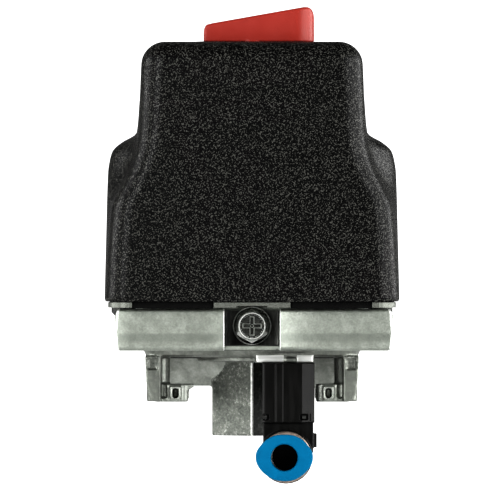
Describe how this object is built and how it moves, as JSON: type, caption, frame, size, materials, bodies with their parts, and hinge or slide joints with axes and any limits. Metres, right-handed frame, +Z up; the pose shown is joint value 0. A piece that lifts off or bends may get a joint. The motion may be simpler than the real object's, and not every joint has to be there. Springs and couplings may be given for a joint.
{
  "type": "pressure switch",
  "caption": "Compressor pressure switch: grained cover with a wedge selector knob, cord clamp, die-cast hexagonal inlet port and push-in unloader valve.",
  "frame": {"origin": "centre of the inlet port's lower face", "axes": "+Z up through the port towards the knob, -Y the front where the clamp and the tube outlet face, +X the outlet's side"},
  "size_m": [0.0688, 0.084, 0.1111],
  "materials": {
    "cover": "moulded, grained black",
    "knob": "moulded, satin red",
    "zinc_plate": "zinc plated sheet, satin",
    "die_cast": "die-cast zinc alloy, mottled",
    "steel": "zinc plated, bright",
    "brass": "turned or stamped",
    "black_plastic": "moulded, semi-gloss",
    "blue_plastic": "moulded",
    "rubber": "moulded",
    "phenolic": "thermoset moulding",
    "white_plastic": "moulded",
    "aluminium": "turned, satin"
  },
  "bodies": {
    "base": {"inlet_flange": "die_cast", "diaphragm": "rubber", "base_plate": "zinc_plate", "flange_screw_front_left": "steel", "flange_screw_front_right": "steel", "flange_screw_rear_left": "steel", "flange_screw_rear_right": "steel", "mechanism_frame": "zinc_plate", "pivot_pin": "steel", "range_spring": "steel", "differential_spring": "steel", "contact_block": "phenolic", "terminal_line_left": "brass", "terminal_load_left": "brass", "terminal_load_right": "brass", "terminal_line_right": "brass", "terminal_screw_line_left": "steel", "terminal_screw_load_left": "steel", "terminal_screw_load_right": "steel", "terminal_screw_line_right": "steel", "trip_pin": "steel", "grommet_left": "rubber", "grommet_right": "rubber", "cover_screw_left": "steel", "cover_screw_right": "steel", "earth_screw_left": "brass", "earth_screw_right": "brass", "pivot_clip_left": "steel", "pivot_clip_right": "steel", "block_screw_left": "steel", "block_screw_right": "steel", "valve_body": "black_plastic", "valve_nut": "brass", "valve_spring": "steel", "valve_outlet": "black_plastic", "valve_clip": "steel", "outlet_sleeve": "aluminium", "tube_collet": "steel", "tube_seal": "rubber"},
    "cover": {"cover": "cover"},
    "knob": {"selector_knob": "knob", "selector_cam": "white_plastic", "knob_clip": "steel"},
    "lever": {"main_lever": "zinc_plate"},
    "piston": {"pressure_plate": "aluminium"},
    "beam": {"contact_beam": "white_plastic", "contact_bridge_left": "brass", "contact_bridge_right": "brass"},
    "unloader": {"valve_pin": "steel", "valve_seal": "rubber"},
    "trip": {"trip_lever": "steel"},
    "range_follower": {"range_plate": "steel"},
    "range_adjuster": {"range_screw": "steel"},
    "differential_follower": {"differential_plate": "steel"},
    "differential_adjuster": {"differential_screw": "steel"},
    "cord_clamp": {"clamp_bar": "zinc_plate"},
    "clamp_fastener": {"clamp_screw": "steel"},
    "ring": {"release_ring": "blue_plastic"}
  },
  "joints": [
    {"name": "cover_lift", "type": "slide", "parent": "base", "child": "cover", "axis": [0, 0, 1], "range_m": [0, 0.075]},
    {"name": "knob_turn", "type": "hinge", "parent": "cover", "child": "knob", "pos_m": [0, -0.024, 0.0921], "axis": [0, 0, 1], "range_deg": [0, 90]},
    {"name": "trip_swing", "type": "hinge", "parent": "base", "child": "trip", "pos_m": [0, -0.0311, 0.0605], "axis": [1, 0, 0], "range_deg": [0, 12.2]},
    {"name": "lever_swing", "type": "hinge", "parent": "base", "child": "lever", "pos_m": [0, 0.021, 0.031], "axis": [-1, 0, 0], "range_deg": [0, 3.1], "deforming": ["range_spring", "differential_spring"]},
    {"name": "piston_rise", "type": "slide", "parent": "base", "child": "piston", "axis": [0, 0, 1], "range_m": [0, 0.0012], "deforming": ["diaphragm"]},
    {"name": "beam_rise", "type": "slide", "parent": "base", "child": "beam", "axis": [0, 0, 1], "range_m": [0, 0.0026]},
    {"name": "unloader_rise", "type": "slide", "parent": "base", "child": "unloader", "axis": [0, 0, 1], "range_m": [0, 0.0025], "deforming": ["valve_spring"]},
    {"name": "range_plate_press", "type": "slide", "parent": "base", "child": "range_follower", "axis": [0, 0, -1], "range_m": [0, 0.0008]},
    {"name": "range_screw_turn", "type": "hinge", "parent": "range_follower", "child": "range_adjuster", "pos_m": [0, 0, 0.075], "axis": [0, 0, -1], "range_deg": [0, 366]},
    {"name": "differential_plate_press", "type": "slide", "parent": "base", "child": "differential_follower", "axis": [0, 0, -1], "range_m": [0, 0.0007]},
    {"name": "differential_screw_turn", "type": "hinge", "parent": "differential_follower", "child": "differential_adjuster", "pos_m": [0, -0.0145, 0.075], "axis": [0, 0, -1], "range_deg": [0, 366]},
    {"name": "clamp_open", "type": "slide", "parent": "base", "child": "cord_clamp", "axis": [0, -1, 0], "range_m": [0, 0.0021]},
    {"name": "clamp_screw_turn", "type": "hinge", "parent": "cord_clamp", "child": "clamp_fastener", "pos_m": [0, -0.034, 0.0261], "axis": [0, -1, 0], "range_deg": [0, 1090]},
    {"name": "release_ring_press", "type": "slide", "parent": "base", "child": "ring", "axis": [0, 1, 0], "range_m": [0, 0.0011], "stiffness_N_per_m": 2500}
  ],
  "couplings": [
    {"joint": "trip_swing", "follows": "knob_turn", "ratio": 0.13333},
    {"joint": "piston_rise", "follows": "lever_swing", "m_per_rad": 0.0195},
    {"joint": "beam_rise", "follows": "lever_swing", "m_per_rad": 0.0455},
    {"joint": "unloader_rise", "follows": "lever_swing", "m_per_rad": 0.0425},
    {"joint": "range_screw_turn", "follows": "range_plate_press", "rad_per_m": 7854},
    {"joint": "differential_screw_turn", "follows": "differential_plate_press", "rad_per_m": 8976},
    {"joint": "clamp_screw_turn", "follows": "clamp_open", "rad_per_m": 8976}
  ]
}
